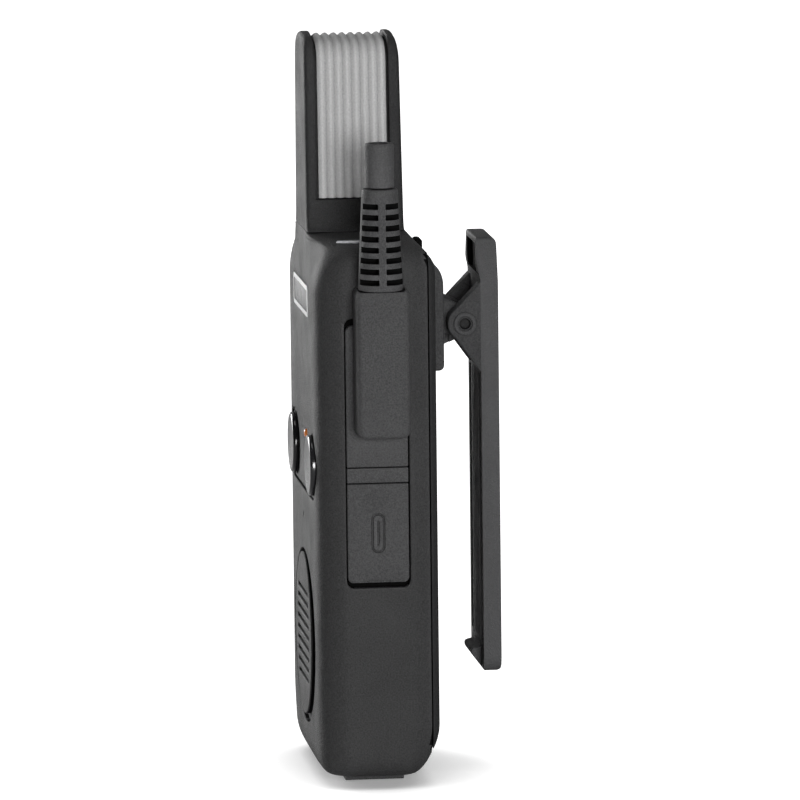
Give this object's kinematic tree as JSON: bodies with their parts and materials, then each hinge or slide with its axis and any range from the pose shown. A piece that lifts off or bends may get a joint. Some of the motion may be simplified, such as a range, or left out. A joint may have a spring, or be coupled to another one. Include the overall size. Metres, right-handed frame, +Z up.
{
  "type": "portable radio",
  "caption": "Hand-held two-way radio with short ribbed antenna mast, front push buttons, side headset plug with cable stub, push-to-talk key and spring belt clip.",
  "frame": {"origin": "centre of the foot's bottom face", "axes": "+Z up through the antenna mast, -Y out of the front with the buttons and speaker, +Y towards the belt clip, +X towards the headset plug"},
  "size_m": [0.0707, 0.0413, 0.156],
  "materials": {
    "case_plastic": "fine matt grain",
    "mast_plastic": "fine matt grain",
    "gloss_plastic": "polished",
    "button_face": "satin",
    "band_rubber": "matt, ribbed",
    "soft_rubber": "matt",
    "seal_rubber": "matt",
    "badge_white": "printed",
    "lamp_orange": "translucent",
    "lens_clear": "clear",
    "board_green": "lacquered circuit board",
    "shield_steel": "tinned",
    "contact_gold": "gold plated",
    "steel": "plated",
    "dark_steel": "blackened",
    "battery_wrap": "shrink film"
  },
  "bodies": {
    "radio_body": {"main_case": "case_plastic", "foot_block": "soft_rubber", "charge_contact_left": "contact_gold", "charge_contact_right": "contact_gold", "button_panel": "gloss_plastic", "dome_switch_left": "shield_steel", "dome_switch_right": "shield_steel", "call_lamp": "lamp_orange", "badge_plate": "badge_white", "status_lens": "lens_clear", "antenna_housing": "mast_plastic", "antenna_band": "band_rubber", "antenna_element": "board_green", "flap_strap": "soft_rubber", "usb_receptacle": "steel", "accessory_socket": "gloss_plastic", "ptt_bezel": "mast_plastic", "ptt_switch": "gloss_plastic", "main_board": "board_green", "rf_shield": "shield_steel", "speaker_driver": "dark_steel", "speaker_seal": "seal_rubber", "microphone": "shield_steel", "case_seal": "seal_rubber", "battery_terminal": "gloss_plastic"},
    "left_button": {"front_button_left": "button_face"},
    "right_button": {"front_button_right": "button_face"},
    "talk_key": {"ptt_key": "soft_rubber"},
    "port_flap": {"usb_flap": "soft_rubber"},
    "headset_plug": {"plug_flange": "soft_rubber", "plug_body": "soft_rubber", "plug_contacts": "gloss_plastic", "strain_relief": "soft_rubber", "cable_stub": "soft_rubber"},
    "rear_pack": {"rear_cover": "case_plastic", "battery_cell": "battery_wrap", "battery_contacts": "gloss_plastic", "clip_base": "case_plastic", "clip_screw_left": "dark_steel", "clip_screw_right": "dark_steel", "clip_pin": "steel", "clip_spring": "steel"},
    "pack_latch": {"release_latch": "gloss_plastic"},
    "belt_clip": {"clip_lever": "case_plastic"}
  },
  "joints": [
    {"name": "left_button_press", "type": "slide", "parent": "radio_body", "child": "left_button", "axis": [0, 1, 0], "range_m": [0, 0.0005], "stiffness_N_per_m": 1500, "springref_m": -0.0005},
    {"name": "right_button_press", "type": "slide", "parent": "radio_body", "child": "right_button", "axis": [0, 1, 0], "range_m": [0, 0.0005], "stiffness_N_per_m": 1500, "springref_m": -0.0005},
    {"name": "talk_key_press", "type": "slide", "parent": "radio_body", "child": "talk_key", "axis": [1, 0, 0], "range_m": [0, 0.0008], "stiffness_N_per_m": 1500, "springref_m": -0.0008},
    {"name": "port_flap_hinge", "type": "hinge", "parent": "radio_body", "child": "port_flap", "pos_m": [0.0299, 0, 0.0643], "axis": [0, -1, 0], "range_deg": [0, 100], "stiffness_Nm_per_rad": 0.002, "springref_deg": -11.46},
    {"name": "headset_plug_slide", "type": "slide", "parent": "radio_body", "child": "headset_plug", "axis": [1, 0, 0], "range_m": [0, 0.008]},
    {"name": "rear_pack_tilt", "type": "hinge", "parent": "radio_body", "child": "rear_pack", "pos_m": [0, 0.0115, 0.008], "axis": [-1, 0, 0], "range_deg": [0, 20]},
    {"name": "latch_slide", "type": "slide", "parent": "rear_pack", "child": "pack_latch", "axis": [0, 0, -1], "range_m": [0, 0.001], "stiffness_N_per_m": 600, "springref_m": -0.001},
    {"name": "belt_clip_hinge", "type": "hinge", "parent": "rear_pack", "child": "belt_clip", "pos_m": [0, 0.0208, 0.0949], "axis": [1, 0, 0], "range_deg": [0, 22], "stiffness_Nm_per_rad": 0.5, "springref_deg": -20.05, "deforming": ["clip_spring"]}
  ]
}
